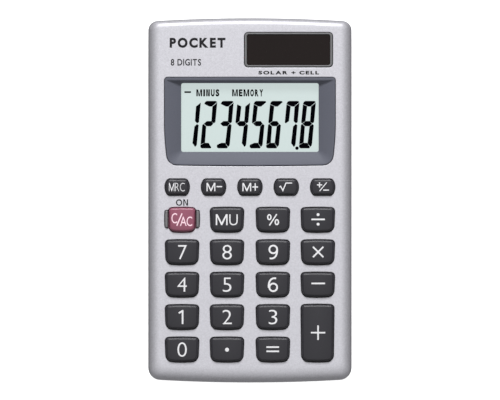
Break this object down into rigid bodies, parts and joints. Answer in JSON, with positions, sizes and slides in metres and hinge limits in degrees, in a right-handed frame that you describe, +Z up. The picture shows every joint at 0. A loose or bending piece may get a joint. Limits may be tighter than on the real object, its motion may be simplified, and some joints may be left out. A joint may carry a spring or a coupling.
{
  "type": "pocket calculator",
  "caption": "Slim pocket calculator with a silver front shell, framed display, solar panel and sprung keys that press into the face.",
  "frame": {"origin": "middle of the underside, on the surface that the calculator lies on", "axes": "+X to the right across the width, +Y along the length towards the display, +Z up through the key face"},
  "size_m": [0.0572, 0.1024, 0.0091],
  "materials": {
    "silver_paint": "satin",
    "dark_shell": "matte",
    "slate_plastic": "satin",
    "key_plastic": "matte",
    "red_key_plastic": "matte",
    "clear_pane": "gloss",
    "smoked_pane": "gloss",
    "lcd_film": "satin",
    "lcd_glass": "gloss",
    "solar_silicon": "gloss",
    "white_plastic": "matte",
    "silicone": "matte",
    "carbon_rubber": "matte",
    "foam": "matte",
    "board_laminate": "satin",
    "chip_resin": "satin",
    "steel": "satin",
    "nickel": "polished",
    "capacitor_sleeve": "gloss",
    "wire_jacket": "satin"
  },
  "bodies": {
    "body": {"front_case": "silver_paint", "rear_case": "dark_shell", "display_bezel": "slate_plastic", "display_window": "clear_pane", "solar_frame": "slate_plastic", "solar_window": "smoked_pane", "solar_cell": "solar_silicon", "solar_leads": "wire_jacket", "lcd_front_polariser": "lcd_film", "lcd_front_glass": "lcd_glass", "lcd_rear_glass": "lcd_glass", "lcd_rear_polariser": "lcd_film", "lcd_holder": "white_plastic", "lcd_cushion": "foam", "zebra_strip": "carbon_rubber", "main_board": "board_laminate", "chip_cover": "chip_resin", "capacitor": "capacitor_sleeve", "keypad_sheet": "silicone", "contact_pills": "carbon_rubber", "clear_key_guard": "slate_plastic", "button_cell": "nickel", "positive_contact": "steel", "negative_contact": "steel", "case_screws": "steel", "board_screws": "steel"},
    "key_mrc": {"key_mrc": "key_plastic"},
    "key_m_minus": {"key_m_minus": "key_plastic"},
    "key_m_plus": {"key_m_plus": "key_plastic"},
    "key_root": {"key_root": "key_plastic"},
    "key_sign": {"key_sign": "key_plastic"},
    "key_clear": {"key_clear": "red_key_plastic"},
    "key_mu": {"key_mu": "key_plastic"},
    "key_percent": {"key_percent": "key_plastic"},
    "key_divide": {"key_divide": "key_plastic"},
    "key_7": {"key_7": "key_plastic"},
    "key_8": {"key_8": "key_plastic"},
    "key_9": {"key_9": "key_plastic"},
    "key_multiply": {"key_multiply": "key_plastic"},
    "key_4": {"key_4": "key_plastic"},
    "key_5": {"key_5": "key_plastic"},
    "key_6": {"key_6": "key_plastic"},
    "key_minus": {"key_minus": "key_plastic"},
    "key_1": {"key_1": "key_plastic"},
    "key_2": {"key_2": "key_plastic"},
    "key_3": {"key_3": "key_plastic"},
    "key_plus": {"key_plus": "key_plastic"},
    "key_0": {"key_0": "key_plastic"},
    "key_point": {"key_point": "key_plastic"},
    "key_equals": {"key_equals": "key_plastic"}
  },
  "joints": [
    {"name": "press_mrc", "type": "slide", "parent": "body", "child": "key_mrc", "axis": [0, 0, -1], "range_m": [0, 0.0008], "stiffness_N_per_m": 900, "deforming": ["keypad_sheet", "contact_pills"]},
    {"name": "press_m_minus", "type": "slide", "parent": "body", "child": "key_m_minus", "axis": [0, 0, -1], "range_m": [0, 0.0008], "stiffness_N_per_m": 900},
    {"name": "press_m_plus", "type": "slide", "parent": "body", "child": "key_m_plus", "axis": [0, 0, -1], "range_m": [0, 0.0008], "stiffness_N_per_m": 900},
    {"name": "press_root", "type": "slide", "parent": "body", "child": "key_root", "axis": [0, 0, -1], "range_m": [0, 0.0008], "stiffness_N_per_m": 900},
    {"name": "press_sign", "type": "slide", "parent": "body", "child": "key_sign", "axis": [0, 0, -1], "range_m": [0, 0.0008], "stiffness_N_per_m": 900},
    {"name": "press_clear", "type": "slide", "parent": "body", "child": "key_clear", "axis": [0, 0, -1], "range_m": [0, 0.0008], "stiffness_N_per_m": 900},
    {"name": "press_mu", "type": "slide", "parent": "body", "child": "key_mu", "axis": [0, 0, -1], "range_m": [0, 0.0008], "stiffness_N_per_m": 900},
    {"name": "press_percent", "type": "slide", "parent": "body", "child": "key_percent", "axis": [0, 0, -1], "range_m": [0, 0.0008], "stiffness_N_per_m": 900},
    {"name": "press_divide", "type": "slide", "parent": "body", "child": "key_divide", "axis": [0, 0, -1], "range_m": [0, 0.0008], "stiffness_N_per_m": 900},
    {"name": "press_7", "type": "slide", "parent": "body", "child": "key_7", "axis": [0, 0, -1], "range_m": [0, 0.0008], "stiffness_N_per_m": 900},
    {"name": "press_8", "type": "slide", "parent": "body", "child": "key_8", "axis": [0, 0, -1], "range_m": [0, 0.0008], "stiffness_N_per_m": 900},
    {"name": "press_9", "type": "slide", "parent": "body", "child": "key_9", "axis": [0, 0, -1], "range_m": [0, 0.0008], "stiffness_N_per_m": 900},
    {"name": "press_multiply", "type": "slide", "parent": "body", "child": "key_multiply", "axis": [0, 0, -1], "range_m": [0, 0.0008], "stiffness_N_per_m": 900},
    {"name": "press_4", "type": "slide", "parent": "body", "child": "key_4", "axis": [0, 0, -1], "range_m": [0, 0.0008], "stiffness_N_per_m": 900},
    {"name": "press_5", "type": "slide", "parent": "body", "child": "key_5", "axis": [0, 0, -1], "range_m": [0, 0.0008], "stiffness_N_per_m": 900},
    {"name": "press_6", "type": "slide", "parent": "body", "child": "key_6", "axis": [0, 0, -1], "range_m": [0, 0.0008], "stiffness_N_per_m": 900},
    {"name": "press_minus", "type": "slide", "parent": "body", "child": "key_minus", "axis": [0, 0, -1], "range_m": [0, 0.0008], "stiffness_N_per_m": 900},
    {"name": "press_1", "type": "slide", "parent": "body", "child": "key_1", "axis": [0, 0, -1], "range_m": [0, 0.0008], "stiffness_N_per_m": 900},
    {"name": "press_2", "type": "slide", "parent": "body", "child": "key_2", "axis": [0, 0, -1], "range_m": [0, 0.0008], "stiffness_N_per_m": 900},
    {"name": "press_3", "type": "slide", "parent": "body", "child": "key_3", "axis": [0, 0, -1], "range_m": [0, 0.0008], "stiffness_N_per_m": 900},
    {"name": "press_plus", "type": "slide", "parent": "body", "child": "key_plus", "axis": [0, 0, -1], "range_m": [0, 0.0008], "stiffness_N_per_m": 900},
    {"name": "press_0", "type": "slide", "parent": "body", "child": "key_0", "axis": [0, 0, -1], "range_m": [0, 0.0008], "stiffness_N_per_m": 900},
    {"name": "press_point", "type": "slide", "parent": "body", "child": "key_point", "axis": [0, 0, -1], "range_m": [0, 0.0008], "stiffness_N_per_m": 900},
    {"name": "press_equals", "type": "slide", "parent": "body", "child": "key_equals", "axis": [0, 0, -1], "range_m": [0, 0.0008], "stiffness_N_per_m": 900}
  ]
}
